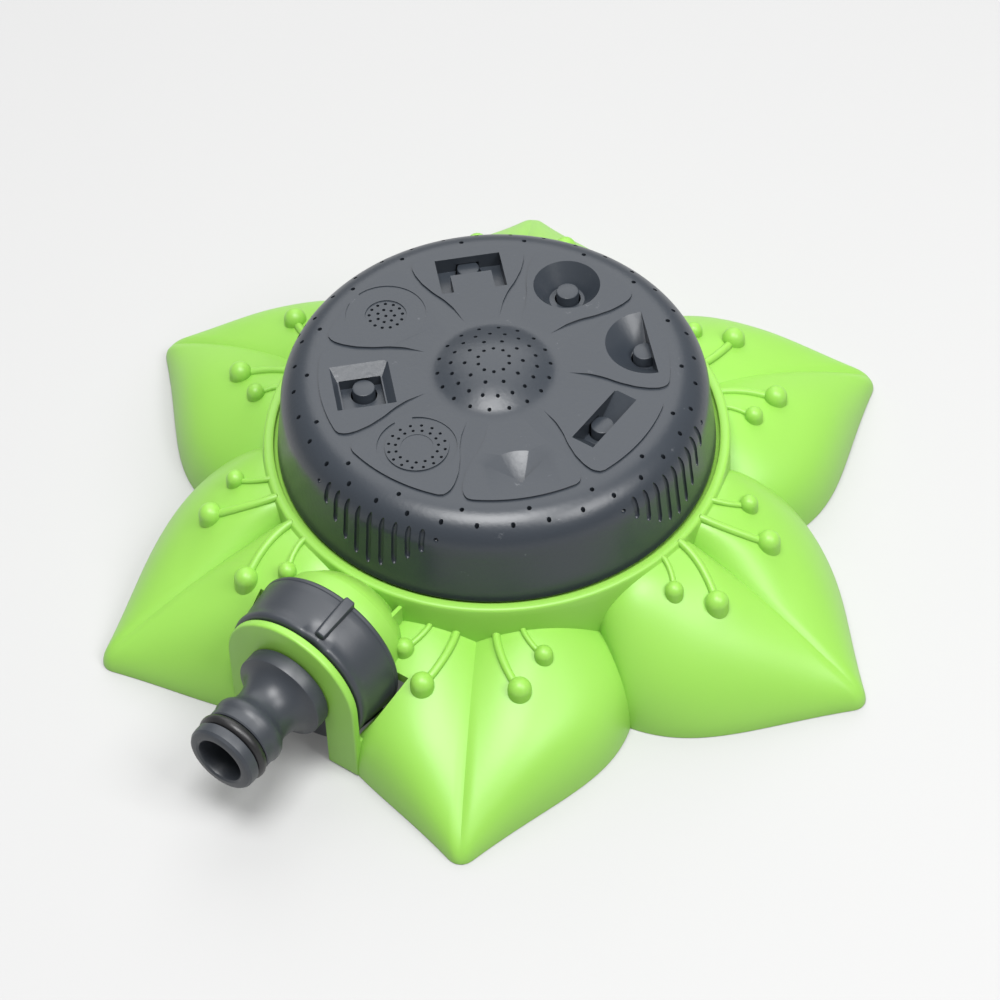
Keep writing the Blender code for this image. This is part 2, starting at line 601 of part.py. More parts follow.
def build_nozzle_plate():
    """Inner plate of the dial: water ports, chamber walls, pivot boss and the jet pins."""
    plate = rod("nozzle_plate", PLATE_RADIUS, PLATE_Z, PLATE_TOP_Z, INNER, DIAL_AXIS, ROUND)
    hub = rod("hub_solid", 0.0062, PLATE_TOP_Z - 0.0005, 0.0440, None, DIAL_AXIS, 20)
    add(plate, hub)
    step = 360 / CHAMBERS
    for i in range(CHAMBERS):
        wall = sector_box(f"chamber_wall_{i}", step * (i + 0.5), (0.0110, 0.0430), (-0.0006, 0.0006),
                          PLATE_TOP_Z - 0.0005, BLOCK_Z - GAP)
        add(plate, wall)
    for name, (angle, out, across) in PIN_POCKETS.items():
        pin = rod(f"pin_{name}", PIN_RADIUS, PLATE_TOP_Z - 0.0005, PIN_TOP_Z, None, DIAL_AXIS, 14, 0.0003,
                  sector_point(angle, out, across))
        add(plate, pin)
    for i in range(CHAMBERS):
        port = rod(f"port_{i}", 0.0030, PLATE_Z - 0.001, PLATE_TOP_Z + 0.001, None, DIAL_AXIS, 10,
                   location=polar(PORT_RADIUS, step * i))
        dimple = turned(f"dimple_{i}", [(0.0, 0.0309), (0.0014, 0.0305), (0.0027, 0.0290), (0.0, 0.0290)],
                        None, DIAL_AXIS, polar(DETENT_Y, step * i), 10)
        cut(plate, port, dimple)
    cut(plate, rod("screw_bore", 0.0019, PLATE_Z - 0.001, 0.0420, None, DIAL_AXIS, 16))
    return plate


def build_pivot():
    """Shouldered screw that holds the dial down through the cup floor, with its washer."""
    profile = [(0.0, 0.0410), (0.0010, 0.0410), (0.0016, 0.0400), (0.0016, 0.0247), (0.0046, 0.0247),
               (0.0046, 0.0232), (0.0034, 0.0221), (0.0, 0.0221)]
    turned("pivot_screw", profile, STEEL, ASSEMBLY, facets=20)
    tube("pivot_washer", 0.0060, 0.0019, 0.0250, FLOOR_BOTTOM - GAP, STEEL, ASSEMBLY, 20)
    tube("pivot_bush", 0.0039, 0.0019, FLOOR_BOTTOM, PLATE_Z - GAP, INNER, ASSEMBLY, 16)


build_base()
build_water_tube()
build_tube_screws()
build_seals_and_springs()
build_inlet_filter()
build_nut()
build_adapter()
build_o_ring()
build_dial_cover()
build_nozzle_plate()
build_pivot()
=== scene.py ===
"""Looks of the flower-shaped lawn sprinkler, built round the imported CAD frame.

Lengths are metres.  Shapes are drawn about the dial axis (x = y = 0) and then moved to where
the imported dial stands; inlet shapes are drawn about the inlet axis, with +Z running outwards.
"""
import math

import bmesh
import bpy
import numpy as np
from mathutils import Matrix, Vector


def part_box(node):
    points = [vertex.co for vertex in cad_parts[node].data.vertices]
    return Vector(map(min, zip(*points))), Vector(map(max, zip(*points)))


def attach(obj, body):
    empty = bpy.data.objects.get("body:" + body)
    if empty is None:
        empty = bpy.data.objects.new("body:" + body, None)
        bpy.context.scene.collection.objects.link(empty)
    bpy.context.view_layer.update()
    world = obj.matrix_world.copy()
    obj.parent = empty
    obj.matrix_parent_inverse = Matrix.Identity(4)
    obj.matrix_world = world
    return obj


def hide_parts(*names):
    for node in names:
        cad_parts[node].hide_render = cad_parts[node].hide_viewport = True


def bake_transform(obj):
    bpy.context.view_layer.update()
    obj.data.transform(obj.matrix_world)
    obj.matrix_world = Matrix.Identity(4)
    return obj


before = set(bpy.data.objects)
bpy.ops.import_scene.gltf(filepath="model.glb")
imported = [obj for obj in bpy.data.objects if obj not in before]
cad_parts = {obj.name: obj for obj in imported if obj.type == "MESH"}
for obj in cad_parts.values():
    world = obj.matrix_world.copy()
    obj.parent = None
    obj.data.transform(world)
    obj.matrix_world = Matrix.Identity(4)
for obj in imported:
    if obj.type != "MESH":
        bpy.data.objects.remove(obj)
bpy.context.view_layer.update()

# ---------------------------------------------------------------- places taken from the frame
dial_low, dial_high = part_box("dial_cover")
adapter_low, adapter_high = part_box("tap_adapter")
base_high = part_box("flower_base")[1]
AXIS_Y = (dial_low.y + dial_high.y) / 2
INLET_Z = (adapter_low.z + adapter_high.z) / 2
TIP_RADIUS = base_high.x
NOSE_END = AXIS_Y - adapter_low.y
DOME_TOP = dial_high.z
SKIRT_RADIUS = (dial_high.x - dial_low.x) / 2
SKIRT_Z = dial_low.z

DIAL = Matrix.Translation((0.0, AXIS_Y, 0.0))
INLET = Matrix.Translation((0.0, AXIS_Y, INLET_Z)) @ Matrix.Rotation(math.pi / 2, 4, "X")

# ---------------------------------------------------------------- sizes shared by several pieces
WALL = 0.0023
CUP_FLOOR = 0.0280
CUP_UNDERSIDE = 0.0260
PIVOT_HOLE = 0.0042
RIM_TOP = 0.0297
COLLAR = 0.0518
COLLAR_BORE = 0.0492
DIAL_TOP = 0.0493
PAD_RISE = 0.00045
PAD_TOP = DIAL_TOP + PAD_RISE
ABOVE = 0.0510
CHAMBER_FLOOR = 0.0310


# ---------------------------------------------------------------- materials
def node_material(name, colour, roughness, metallic=0.0, grain=0.0, grain_scale=900.0, mottle=0.04,
                  wear=0.0, subsurface=0.0, shine=0.5):
    """Moulded plastic, rubber or metal: mottled colour, uneven gloss and a fine moulded grain."""
    material = bpy.data.materials.new(name)
    material.use_nodes = True
    tree = material.node_tree
    shader = tree.nodes["Principled BSDF"]
    shader.inputs["Metallic"].default_value = metallic
    shader.inputs["Specular IOR Level"].default_value = shine
    if subsurface:
        shader.inputs["Subsurface Weight"].default_value = subsurface
        shader.inputs["Subsurface Radius"].default_value = (0.6, 1.0, 0.25)
        shader.inputs["Subsurface Scale"].default_value = 0.002
    place = tree.nodes.new("ShaderNodeTexCoord")
    broad = tree.nodes.new("ShaderNodeTexNoise")
    broad.inputs["Scale"].default_value = 28.0
    broad.inputs["Detail"].default_value = 4.0
    tint = tree.nodes.new("ShaderNodeMix")
    tint.data_type = "RGBA"
    tint.inputs[6].default_value = (*[c * (1 - mottle) for c in colour], 1.0)
    tint.inputs[7].default_value = (*[min(1.0, c * (1 + mottle)) for c in colour], 1.0)
    tree.links.new(place.outputs["Object"], broad.inputs["Vector"])
    tree.links.new(broad.outputs["Fac"], tint.inputs[0])
    colour_out = tint.outputs[2]
    if wear:
        specks = tree.nodes.new("ShaderNodeTexNoise")
        specks.inputs["Scale"].default_value = 210.0
        specks.inputs["Detail"].default_value = 6.0
        specks.inputs["Roughness"].default_value = 0.75
        ramp = tree.nodes.new("ShaderNodeMapRange")
        ramp.inputs["From Min"].default_value = 0.66
        ramp.inputs["From Max"].default_value = 0.80
        ramp.inputs["To Max"].default_value = wear
        pale = tree.nodes.new("ShaderNodeMix")
        pale.data_type = "RGBA"
        pale.inputs[7].default_value = (0.42, 0.43, 0.45, 1.0)
        tree.links.new(place.outputs["Object"], specks.inputs["Vector"])
        tree.links.new(specks.outputs["Fac"], ramp.inputs["Value"])
        tree.links.new(ramp.outputs["Result"], pale.inputs[0])
        tree.links.new(colour_out, pale.inputs[6])
        colour_out = pale.outputs[2]
    tree.links.new(colour_out, shader.inputs["Base Color"])
    gloss = tree.nodes.new("ShaderNodeMapRange")
    gloss.inputs["To Min"].default_value = roughness - 0.05
    gloss.inputs["To Max"].default_value = roughness + 0.05
    tree.links.new(broad.outputs["Fac"], gloss.inputs["Value"])
    tree.links.new(gloss.outputs["Result"], shader.inputs["Roughness"])
    if grain:
        fine = tree.nodes.new("ShaderNodeTexNoise")
        fine.inputs["Scale"].default_value = grain_scale
        fine.inputs["Detail"].default_value = 3.0
        bump = tree.nodes.new("ShaderNodeBump")
        bump.inputs["Strength"].default_value = grain
        bump.inputs["Distance"].default_value = 0.0001
        tree.links.new(place.outputs["Object"], fine.inputs["Vector"])
        tree.links.new(fine.outputs["Fac"], bump.inputs["Height"])
        tree.links.new(bump.outputs["Normal"], shader.inputs["Normal"])
    return material


LIME = node_material("lime_moulding", (0.235, 0.490, 0.070), 0.40, grain=0.12, mottle=0.03,
                     subsurface=0.12, shine=0.45)
SLATE = node_material("slate_moulding", (0.027, 0.033, 0.042), 0.34, grain=0.30, mottle=0.05, wear=0.35,
                      shine=0.5)
NUT_SLATE = node_material("slate_smooth", (0.032, 0.037, 0.045), 0.40, grain=0.15, mottle=0.05, wear=0.2,
                          shine=0.5)
INNER = node_material("inner_moulding", (0.020, 0.022, 0.027), 0.50, grain=0.2, shine=0.3)
RUBBER = node_material("seal_rubber", (0.012, 0.012, 0.013), 0.38, grain=0.3, grain_scale=1500.0)
STEEL = node_material("sprung_steel", (0.60, 0.60, 0.62), 0.28, metallic=1.0, grain=0.1)


# ---------------------------------------------------------------- mesh helpers
def finish_mesh(shape, name):
    """The bmesh as a mesh whose faces all point outwards."""
    bmesh.ops.recalc_face_normals(shape, faces=shape.faces)
    if shape.calc_volume(signed=True) < 0:
        bmesh.ops.reverse_faces(shape, faces=shape.faces)
    mesh = bpy.data.meshes.new(name)
    shape.to_mesh(mesh)
    shape.free()
    return mesh


def loose(mesh, name="tool"):
    """An object for a modifier to work with; it is removed once it has been used."""
    item = bpy.data.objects.new(name, mesh)
    bpy.context.scene.collection.objects.link(item)
    return item


def grid_mesh(rings, name, close_across=True, close_along=False):
    """Quads between rings of points; a ring of one point is a pole."""
    shape = bmesh.new()
    made = [[shape.verts.new(p) for p in ring] for ring in rings]
    pairs = list(zip(made[:-1], made[1:]))
    if close_along:
        pairs.append((made[-1], made[0]))
    for first, second in pairs:
        count = max(len(first), len(second))
        for i in range(count if close_across else count - 1):
            k = (i + 1) % count
            corners = [first[i % len(first)], first[k % len(first)], second[k % len(second)],
                       second[i % len(second)]]
            unique = list(dict.fromkeys(corners))
            if len(unique) > 2:
                shape.faces.new(unique)
    return finish_mesh(shape, name)


def turned_mesh(profile, segments, name, ring=False, centre=(0.0, 0.0)):
    """Turned solid from (radius, height) points; poles where the radius is nothing."""
    rings = []
    for radius, height in profile:
        if radius < 1e-7:
            rings.append([(centre[0], centre[1], height)])
            continue
        turns = [2 * math.pi * i / segments for i in range(segments)]
        rings.append([(centre[0] + radius * math.cos(a), centre[1] + radius * math.sin(a), height)
                      for a in turns])
    return grid_mesh(rings, name, close_along=ring)


def prism_mesh(outline, low, high, name, lift=None):
    """Flat outline pulled up from low to high; lift gives each top corner its own height."""
    shape = bmesh.new()
    bottom = [shape.verts.new((x, y, low)) for x, y in outline]
    tops = [high if lift is None else lift(x, y) for x, y in outline]
    top = [shape.verts.new((x, y, z)) for (x, y), z in zip(outline, tops)]
    shape.faces.new(bottom)
    shape.faces.new(top[::-1])
    count = len(outline)
    for i in range(count):
        k = (i + 1) % count
        shape.faces.new((bottom[i], bottom[k], top[k], top[i]))
    return finish_mesh(shape, name)


def hull_mesh(points, name):
    """Convex solid round the points."""
    shape = bmesh.new()
    for p in points:
        shape.verts.new(p)
    bmesh.ops.convex_hull(shape, input=shape.verts)
    return finish_mesh(shape, name)


def box_mesh(low, high, name="box"):
    """Box between two opposite corners."""
    corners = [(x, y, z) for x in (low[0], high[0]) for y in (low[1], high[1]) for z in (low[2], high[2])]
    return hull_mesh(corners, name)


def tube_mesh(path, radii, sides, name):
    """Round bar along a path, closed at both ends by a point."""
    points = [Vector(p) for p in path]
    rings = []
    side = None
    for i, p in enumerate(points):
        ahead = (points[min(i + 1, len(points) - 1)] - points[max(i - 1, 0)]).normalized()
        if side is None:
            side = ahead.orthogonal().normalized()
        side = (side - ahead * side.dot(ahead)).normalized()
        other = ahead.cross(side)
        if radii[i] < 1e-7:
            rings.append([tuple(p)])
            continue
        turns = [2 * math.pi * k / sides for k in range(sides)]
        rings.append([tuple(p + radii[i] * (side * math.cos(a) + other * math.sin(a))) for a in turns])
    return grid_mesh(rings, name)


def joined(meshes, name):
    """Several meshes as one, with nothing cut or merged."""
    shape = bmesh.new()
    for mesh in meshes:
        shape.from_mesh(mesh)
    out = bpy.data.meshes.new(name)
    shape.to_mesh(out)
    shape.free()
    return out


def moved(mesh, matrix):
    """The same mesh, carried to its place."""
    mesh.transform(matrix)
    return mesh


def evaluated(item):
    """A new mesh with the object's modifiers carried out."""
    bpy.context.view_layer.update()
    graph = bpy.context.evaluated_depsgraph_get()
    return bpy.data.meshes.new_from_object(item.evaluated_get(graph))


def softened(mesh, width, segments=2, angle=35):
    """The mesh with its sharp edges rounded."""
    item = loose(mesh)
    step = item.modifiers.new("soften", "BEVEL")
    step.width = width
    step.segments = segments
    step.limit_method = "ANGLE"
    step.angle_limit = math.radians(angle)
    out = evaluated(item)
    bpy.data.objects.remove(item)
    return out


WELD_GAP = 3e-6
SHORTEST_EDGE = 2e-6


def combined(mesh, *steps):
    """The mesh after each (operation, other mesh) has been carried out on it."""
    item = loose(mesh)
    tools = []
    for operation, other in steps:
        tool = loose(other)
        tools.append(tool)
        step = item.modifiers.new("step", "BOOLEAN")
        step.operation = operation
        step.solver = "EXACT"
        step.object = tool
    out = evaluated(item)
    for tool in [item, *tools]:
        bpy.data.objects.remove(tool)
    shape = bmesh.new()
    shape.from_mesh(out)
    bmesh.ops.remove_doubles(shape, verts=shape.verts, dist=WELD_GAP)
    bmesh.ops.dissolve_degenerate(shape, edges=shape.edges, dist=SHORTEST_EDGE)
    shape.to_mesh(out)
    shape.free()
    return out


def piece(name, mesh, material, body, nodes=(), angle=32, matrix=DIAL):
    """A shown piece that rides on a CAD body and stands for CAD nodes."""
    mesh.transform(matrix)
    mesh.materials.clear()
    mesh.materials.append(material)
    mesh.shade_smooth()
    mesh.set_sharp_from_angle(angle=math.radians(angle))
    item = bpy.data.objects.new(name, mesh)
    bpy.context.scene.collection.objects.link(item)
    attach(item, body)
    if nodes:
        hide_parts(*nodes)
    return item


# ---------------------------------------------------------------- flower petals
# Two kinds of petal take turns: three wide ones whose lobes rise to the collar's rim, and
# three lower ones that are tucked between them.  Heights are (root, droop, power, edge), as
# fall_off reads them.  The crown stands crown_at of the way from the crease to the valley,
# bank is that share next to the collar, and fall shapes the slope from crown to valley.
PETALS = 6
COLUMNS = 46
VALLEY_RADIUS = 0.0665
TIP_ROUND = 0.0032
VALLEY = (0.0166, 0.571, 1.97, 12.0)
UPPER = {
    "crease": (0.0244, 0.87, 1.35, 40.0),
    "crown": (0.0286, 0.725, 1.45, 9.2),
    "crown_at": 0.45,
    "bank": 0.14,
    "fall": (2.2, 0.5),
    "pull_tip": (-0.0167, 0.0161),
    "pull_valley": (0.0168, -0.0029),
}
LOWER = {
    "crease": (0.0195, 0.86, 1.70, 40.0),
    "crown": (0.0230, 0.509, 1.37, 9.4),
    "crown_at": 0.42,
    "bank": 0.42,
    "fall": (2.0, 1.0),
    "pull_tip": (-0.0190, 0.0170),
    "pull_valley": (0.0158, -0.0035),
}


def ogee(kind, shift, t):
    """Point and direction of half a petal's outline, from its tip (t = 0) to the valley (t = 1)."""
    half = math.pi / PETALS
    tip = Vector((TIP_RADIUS + shift, 0.0))
    valley = Vector((VALLEY_RADIUS * math.cos(half), VALLEY_RADIUS * math.sin(half)))
    a = tip + Vector(kind["pull_tip"])
    b = valley + Vector(kind["pull_valley"])
    u = 1 - t
    point = u ** 3 * tip + 3 * u * u * t * a + 3 * u * t * t * b + t ** 3 * valley
    slope = 3 * u * u * (a - tip) + 6 * u * t * (b - a) + 3 * t * t * (valley - b)
    return point, slope.normalized()


def petal_outline(kind):
    """Outline with a rounded tip, as COLUMNS + 1 points that crowd together at both ends."""
    shift = 0.0
    for _ in range(6):
        for i in range(400):
            point, slope = ogee(kind, shift, i / 400 * 0.5)
            centre = point + Vector((-slope.y, slope.x)) * TIP_ROUND
            if centre.y > 0.0:
                break
        shift += TIP_RADIUS - (centre.x + TIP_ROUND)
    start = i / 400 * 0.5
    lean = math.atan2(point.y - centre.y, point.x - centre.x)
    line = [Vector((centre.x + TIP_ROUND * math.cos(lean * k / 30), TIP_ROUND * math.sin(lean * k / 30)))
            for k in range(31)]
    line += [ogee(kind, shift, start + (1 - start) * k / 300)[0] for k in range(1, 301)]
    line = np.array([tuple(p) for p in line])
    line[0, 1] = 0.0
    along = np.concatenate([[0.0], np.cumsum(np.hypot(*np.diff(line, axis=0).T))])
    u = np.linspace(0, 1, COLUMNS + 1)
    wanted = along[-1] * (u - 0.115 * np.sin(2 * math.pi * u))
    return np.stack([np.interp(wanted, along, line[:, 0]), np.interp(wanted, along, line[:, 1])], -1)


def fall_off(s, profile):
    """Height at share s of the way out: root at the collar, then drooping to a rounded edge."""
    root, droop, power, edge = profile
    return root * (1 - droop * s ** power) * np.sqrt(np.maximum(0.0, 1 - s ** edge))


def petal_height(kind, s, g):
    """Top surface at share s of the way out, and g of the way from the crease to the valley."""
    crease, crown, valley = (fall_off(s, p) for p in (kind["crease"], kind["crown"], VALLEY))
    at = kind["crown_at"]
    bank = kind["bank"] + (at - kind["bank"]) * np.minimum(1.0, s / 0.55) ** 1.3
    rise = 1 - (1 - np.minimum(g, bank) / bank) ** 2
    shape, power = kind["fall"]
    down = np.maximum(0.0, 1 - np.clip((g - at) / (1 - at), 0, 1) ** shape) ** power
    return np.where(g < at, crease + (crown - crease) * rise, valley + (crown - valley) * down)


def petal_surface(kind, radius, lean):
    """Height of the petal's top at a radius and an angle from its crease."""
    x, y = OUTLINES[id(kind)].T
    reach = np.interp(abs(lean), np.arctan2(y, x), np.hypot(x, y))
    s = np.clip((radius - COLLAR) / (reach - COLLAR), 0.0, 1.0)
    return float(petal_height(kind, np.array(s), np.array(abs(lean) * PETALS / math.pi)))


OUTLINES = {id(kind): petal_outline(kind) for kind in (UPPER, LOWER)}


def section_at(kind, reach, g):
    """Radius and height of the whole wall at one angle, from the cup floor out and back under."""
    quarter = np.radians(np.linspace(20.7, 90.0, 17)[1:])
    s = np.concatenate([np.linspace(0.0, 0.8, 20), np.sin(quarter) ** (2 / 9.3)])
    s[-1] = 1.0
    top = petal_height(kind, s, np.full(len(s), g))
    section = [(PIVOT_HOLE, CUP_FLOOR), (0.0250, CUP_FLOOR), (COLLAR_BORE - 0.0006, CUP_FLOOR),
               (COLLAR_BORE, CUP_FLOOR + 0.0004), (COLLAR_BORE, RIM_TOP - 0.0006)]
    section += [(COLLAR_BORE + 0.00015, RIM_TOP - 0.00022), (COLLAR_BORE + 0.0005, RIM_TOP),
                (0.0508, RIM_TOP), (0.0512, RIM_TOP - 0.0001), (0.05145, RIM_TOP - 0.00032)]
    wall_top = RIM_TOP - 0.0007
    section += [(0.05155 + 0.00025 * k / 4, wall_top + (top[0] - wall_top) * k / 4) for k in range(4)]
    section += [(COLLAR + (reach - COLLAR) * a, z) for a, z in zip(s, top)]
    section += [(reach - WALL * 0.5, 0.0), (reach - WALL, 0.0)]
    inner = reach - WALL
    for a in np.linspace(0.97, 0.0, 12):
        z = float(petal_height(kind, np.array(a), np.array(g)))
        section.append((COLLAR + (inner - COLLAR) * a, z * z / (z + WALL)))
    inside = COLLAR_BORE - 0.0002
    section += [(inside, section[-1][1] - 0.0003), (inside, CUP_UNDERSIDE),
                (PIVOT_HOLE, CUP_UNDERSIDE)]
    return section


def flower_shell():
    """The bare shell: cup, collar and six petals as one closed sheet of even thickness."""
    rings = []
    for petal in range(PETALS):
        kind = UPPER if petal % 2 == 0 else LOWER
        outline = OUTLINES[id(kind)]
        axis = 2 * math.pi * petal / PETALS
        for side in (-1, 1):
            order = range(COLUMNS, 0, -1) if side < 0 else range(COLUMNS)
            for k in order:
                x, y = outline[k]
                lean = math.atan2(y, x)
                angle = axis + side * lean
                rings.append([(r * math.cos(angle), r * math.sin(angle), z)
                              for r, z in section_at(kind, math.hypot(x, y), lean * PETALS / math.pi)])
    return grid_mesh(rings, "shell", close_along=True)


def arch_outline(radius, foot, facets=48):
    """Half round with two straight sides that go down to the foot."""
    turns = [math.pi * i / facets for i in range(facets + 1)]
    arc = [(radius * math.cos(a), radius * math.sin(a)) for a in turns]
    return [(radius, -foot), *arc, (-radius, -foot)]


def inlet_rooms(foot):
    """Hollows of the inlet housing: round the nut, and straight down below it."""
    room = turned_mesh([(0.0, 0.0748), (0.0180, 0.0748), (0.0197, 0.0610), (0.0, 0.0610)], 98, "room")
    pit = box_mesh((-0.0150, -foot - 0.001, 0.0611), (0.0150, -0.0040, 0.0747))
    return [room, pit]


def inlet_back():
    """Round back wall behind the nut, the cone that joins it to the collar, and the fin on top."""
    boss = turned_mesh([(0.0, 0.0613), (0.0148, 0.0613), (0.0151, 0.06115), (0.0152, 0.0608),
                        (0.0152, 0.0572), (0.0151, 0.0568), (0.0148, 0.0566), (0.0, 0.0566)], 96, "boss")
    cone = turned_mesh([(0.0, 0.0600), (0.0144, 0.0600), (0.0143, 0.0563), (0.0139, 0.0552),
                        (0.0129, 0.0538), (0.0118, 0.0527), (0.0108, 0.0519), (0.0100, 0.0513),
                        (0.0096, 0.0506), (0.0, 0.0506)], 90, "cone")
    side = ((0.0505, 0.0072), (0.0545, 0.0074), (0.0545, 0.0020), (0.0505, 0.0020))
    fin = hull_mesh([(x, z, y) for x in (0.0100, 0.0109) for y, z in side], "fin")
    return [boss, cone, fin]


def inlet_walls(foot):
    """Arch plate in front of the nut and the two legs beside it."""
    legs = [softened(box_mesh((x, -foot, 0.0606), (x + 0.0014, -0.0095, 0.0760)), 0.0003)
            for x in (-0.0165, 0.0151)]
    plate = softened(prism_mesh(arch_outline(0.0166, foot), 0.0745, 0.0765, "plate"), 0.0005, 3)
    return [*legs, plate]


def build_flower():
    """Flower shell with the inlet housing that holds nut and nose."""
    foot = INLET_Z
    cheeks = [box_mesh((x, -foot + 0.0003, 0.0590), (x + 0.0040, -foot + 0.0070, 0.0710))
              for x in (-0.0186, 0.0146)]
    keyhole = prism_mesh(arch_outline(0.0089, foot + 0.001, 24), 0.0735, 0.0780, "keyhole")
    spigot = turned_mesh([(0.0, 0.0630), (0.0131, 0.0630), (0.0131, 0.0571), (0.0, 0.0571)], 48, "spigot")
    steps = [("UNION", mesh) for mesh in cheeks]
    steps += [("DIFFERENCE", mesh) for mesh in inlet_rooms(foot)]
    steps += [("UNION", mesh) for mesh in inlet_back()]
    steps += [("UNION", mesh) for mesh in inlet_walls(foot)]
    steps += [("DIFFERENCE", keyhole), ("DIFFERENCE", spigot)]
    own = DIAL.inverted() @ INLET
    for _, mesh in steps:
        mesh.transform(own)
    shell = combined(flower_shell(), *steps)
    hole_profile = [(0.0, 0.0300), (0.0064, 0.0300), (0.0064, 0.0240), (0.0, 0.0240)]
    seal_hole = turned_mesh(hole_profile, 32, "seal_hole", centre=(0.0, -0.0200))
    shell = combined(shell, ("DIFFERENCE", seal_hole))
    return piece("flower_shell", shell, LIME, "base", ["flower_base"], angle=34)


# ---------------------------------------------------------------- stamens on the petals
# (ball distance from the dial axis, ball angle from the crease, root angle, ball size, rib size)
STAMENS = [(0.0661, 9.1, 4.7, 0.00258, 0.00092), (0.0592, 14.7, 11.0, 0.00202, 0.00066)]


def stamen(kind, axis, side, reach, ball_angle, root_angle, ball_size, rib_size):
    """Curved rib that leaves the collar square to it and ends in a ball half sunk in the petal."""
    first, last = math.radians(root_angle), math.radians(ball_angle)
    root_lift = 0.0
    if kind is UPPER:
        root_lift = max(0.0, RIM_TOP - 0.0009 - petal_surface(kind, COLLAR, first))
    steps = 16
    path = []
    for i in range(steps + 1):
        t = i / steps
        radius = COLLAR - 0.0008 + (reach - COLLAR) * t
        lean = first + (last - first) * t ** 1.6
        near = max(0.0, 1 - (radius - COLLAR) / 0.0040)
        z = petal_surface(kind, radius, lean) + 0.0002 + root_lift * near * near
        angle = axis + side * lean
        path.append((radius * math.cos(angle), radius * math.sin(angle), z))
    inner = 2 * Vector(path[0]) - Vector(path[1])
    rib = tube_mesh([inner, *path], [0.0] + [rib_size] * steps + [0.0], 20, "rib")
    x, y, z = path[-1]
    top = z + 0.0008
    buried = z - 0.0032
    dome = [(ball_size * math.sin(a), top + ball_size * math.cos(a))
            for a in np.radians(np.arange(0, 91, 9))]
    ball = turned_mesh([*dome, (ball_size, buried), (0.0, buried)], 28, "ball", centre=(x, y))
    return combined(rib, ("UNION", ball))


def build_stamens():
    """Two stamens on each side of every petal's crease."""
    meshes = []
    for petal in range(PETALS):
        kind = UPPER if petal % 2 == 0 else LOWER
        axis = 2 * math.pi * petal / PETALS
        for side in (-1, 1):
            for row in STAMENS:
                meshes.append(stamen(kind, axis, side, *row))
    return piece("stamens", joined(meshes, "stamens"), LIME, "base", angle=40)


# ---------------------------------------------------------------- dial
SECTORS = 8
# Places on the dial are (distance out, distance across) in a sector; pins by the sector's angle.
PINS = {0: (0.0276, 0.0010), 45: (0.0334, 0.0009), 90: (0.0303, 0.0014), 135: (0.0340, 0.0000),
        225: (0.0284, -0.0021)}
PIN_RADIUS = 0.0025
PIN_TOP = 0.0475
PIN_ROOM = 0.0029
FINE_SHOWER = 180
FINE_CENTRE = (0.0293, -0.0003)
WIDE_SHOWER = 270
WIDE_CENTRE = (0.0278, -0.0005)


def sector_matrix(degrees):
    """Turn about the dial axis."""
    return Matrix.Rotation(math.radians(degrees), 4, "Z")


def ring_points(count, radius, phase):
    """Evenly spaced points on a circle."""
    turns = [math.radians(phase + 360 * i / count) for i in range(count)]
    return [(radius * math.cos(a), radius * math.sin(a)) for a in turns]


def dome_profile():
    """Outside of the dial, from the middle of the rose out to the skirt."""
    points = [(0.0, DOME_TOP), (0.0032, DOME_TOP - 0.00002), (0.0052, DOME_TOP - 0.0003),
              (0.0072, DOME_TOP - 0.0008), (0.0092, DOME_TOP - 0.0014), (0.0110, DOME_TOP - 0.0021),
              (0.0122, DOME_TOP - 0.0026), (0.0130, DOME_TOP - 0.0029), (0.0138, DIAL_TOP + 0.0001),
              (0.0146, DIAL_TOP)]
    bend_r, bend_z, bend_out, bend_up = 0.0388, 0.0415, 0.0081, 0.0078
    points += [(bend_r, DIAL_TOP)]
    points += [(bend_r + bend_out * math.sin(a), bend_z + bend_up * math.cos(a))
               for a in np.radians(np.arange(8, 86, 6))]
    points += [(0.0470, 0.0405), (0.0473, 0.0380), (0.0476, 0.0355), (0.0480, 0.0325),
               (SKIRT_RADIUS - 0.0001, SKIRT_Z + 0.0004), (SKIRT_RADIUS - 0.0003, SKIRT_Z)]
    return points


def outside_radius(z):
    """Radius of the dial's shoulder or skirt at a height."""
    line = [(r, h) for r, h in dome_profile() if h <= DIAL_TOP - 1e-6 and r > 0.03]
    heights = [h for _, h in line][::-1]
    radii = [r for r, _ in line][::-1]
    return float(np.interp(z, heights, radii))


def drill(x, y, bore, low, high, sides):
    """Pin to subtract for one spray hole."""
    return turned_mesh([(0.0, high), (bore, high), (bore, low), (0.0, low)], sides, "hole", centre=(x, y))


def spray_holes():
    """Every drilled spray hole as one set of short pins to subtract."""
    # (count, radius of the row, phase, surface height, bore) for the rose and the rim
    rows = [(18, 0.0123, 0.5, 0.0499, 0.00045), (18, 0.00936, 10.3, 0.0511, 0.00045),
            (10, 0.0063, 0.7, 0.0520, 0.00045), (10, 0.0035, 17.9, 0.0525, 0.00042),
            (18, 0.0406, 15.5, 0.0492, 0.00052), (36, 0.0436, 0.3, 0.0483, 0.00050)]
    meshes = []
    for count, radius, phase, z, bore in rows:
        for x, y in ring_points(count, radius, phase):
            meshes.append(drill(x, y, bore, z - 0.0026, z + 0.002, 12))
    showers = [(WIDE_SHOWER, WIDE_CENTRE, 0.00036, ((16, 0.0061, 4.0), (15, 0.0046, 10.0))),
               (FINE_SHOWER, FINE_CENTRE, 0.00038, ((1, 0.0, 0.0), (7, 0.0019, 12.0), (13, 0.0037, 3.0)))]
    for sector, (out, across), bore, circles in showers:
        for count, radius, phase in circles:
            for x, y in ring_points(count, radius, phase):
                pin = drill(out + x, across + y, bore, 0.0478, 0.0530, 10)
                meshes.append(moved(pin, sector_matrix(sector)))
    return joined(meshes, "holes")


